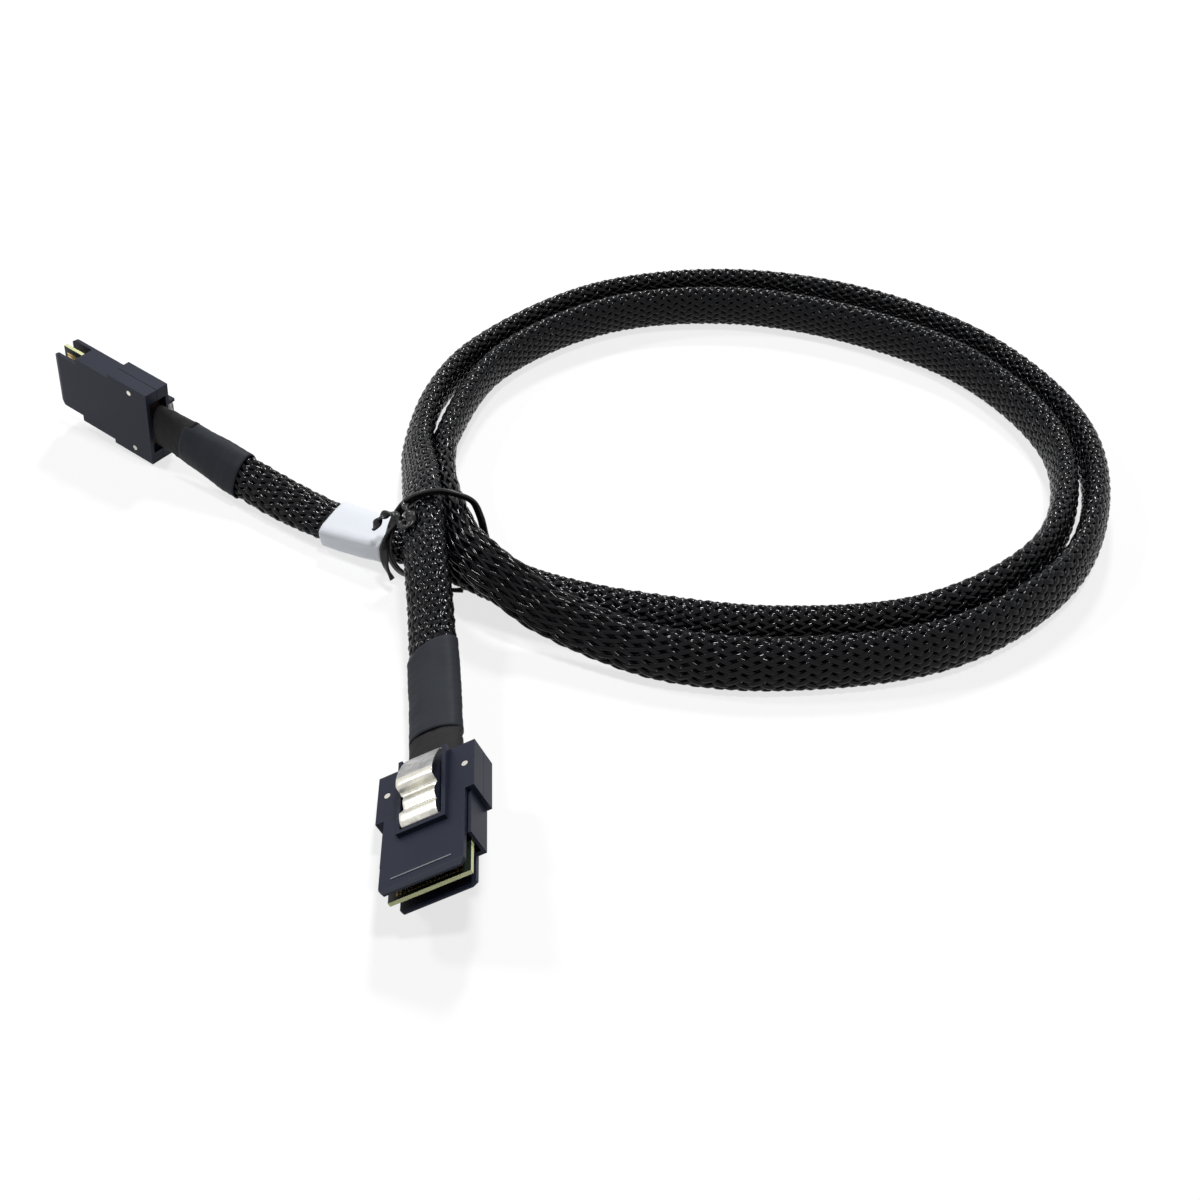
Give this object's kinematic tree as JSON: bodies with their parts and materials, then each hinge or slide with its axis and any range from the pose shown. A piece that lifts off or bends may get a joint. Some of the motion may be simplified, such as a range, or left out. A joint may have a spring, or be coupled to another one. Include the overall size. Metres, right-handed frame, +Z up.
{
  "type": "data cable",
  "caption": "Flat braided data cable with a latched flat plug at each end, lying in an oval coil that is tied where it crosses itself.",
  "frame": {"origin": "on the surface the cable lies on, under the middle of the whole object", "axes": "+X along the long side of the coil, away from the plug that stands on its edge; +Y away from the plug that shows its latch; +Z up"},
  "size_m": [0.2708, 0.2256, 0.0237],
  "materials": {
    "braid": "glossy monofilament braid",
    "wire": "smooth film",
    "ribbon": "satin",
    "tape": "dull cloth tape",
    "shrink": "dull, slightly wrinkled",
    "label": "satin, bare",
    "tie": "glossy",
    "housing": "fine moulded texture",
    "card": "satin laminate",
    "block": "moulded",
    "spring_steel": "bright, slightly worn",
    "rivet": "bright"
  },
  "bodies": {
    "cable": {"braided_sleeve": "braid", "wire_pair_1": "wire", "wire_pair_2": "wire", "wire_pair_3": "wire", "wire_pair_4": "wire", "wire_pair_5": "wire", "wire_pair_6": "wire", "wire_pair_7": "wire", "wire_pair_8": "wire", "signal_ribbon": "ribbon", "a_tape_wrap": "tape", "b_tape_wrap": "tape", "a_heat_shrink": "shrink", "b_heat_shrink": "shrink", "cable_label": "label", "wire_tie": "tie", "a_latch_shell": "housing", "a_plain_shell": "housing", "a_paddle_card": "card", "a_wire_block": "block", "a_rivet_left": "rivet", "a_rivet_right": "rivet", "b_latch_shell": "housing", "b_plain_shell": "housing", "b_paddle_card": "card", "b_wire_block": "block", "b_rivet_left": "rivet", "b_rivet_right": "rivet"},
    "a_latch": {"a_spring_latch": "spring_steel"},
    "b_latch": {"b_spring_latch": "spring_steel"}
  },
  "joints": [
    {"name": "a_latch_press", "type": "hinge", "parent": "cable", "child": "a_latch", "pos_m": [-0.02632, -0.09639, 0.01422], "axis": [-0.8963, -0.119, -0.4271], "range_deg": [0, 3], "stiffness_Nm_per_rad": 1},
    {"name": "b_latch_press", "type": "hinge", "parent": "cable", "child": "b_latch", "pos_m": [-0.11826, 0.04857, 0.01286], "axis": [-0.117, 0.02, -0.9929], "range_deg": [0, 3], "stiffness_Nm_per_rad": 1}
  ]
}
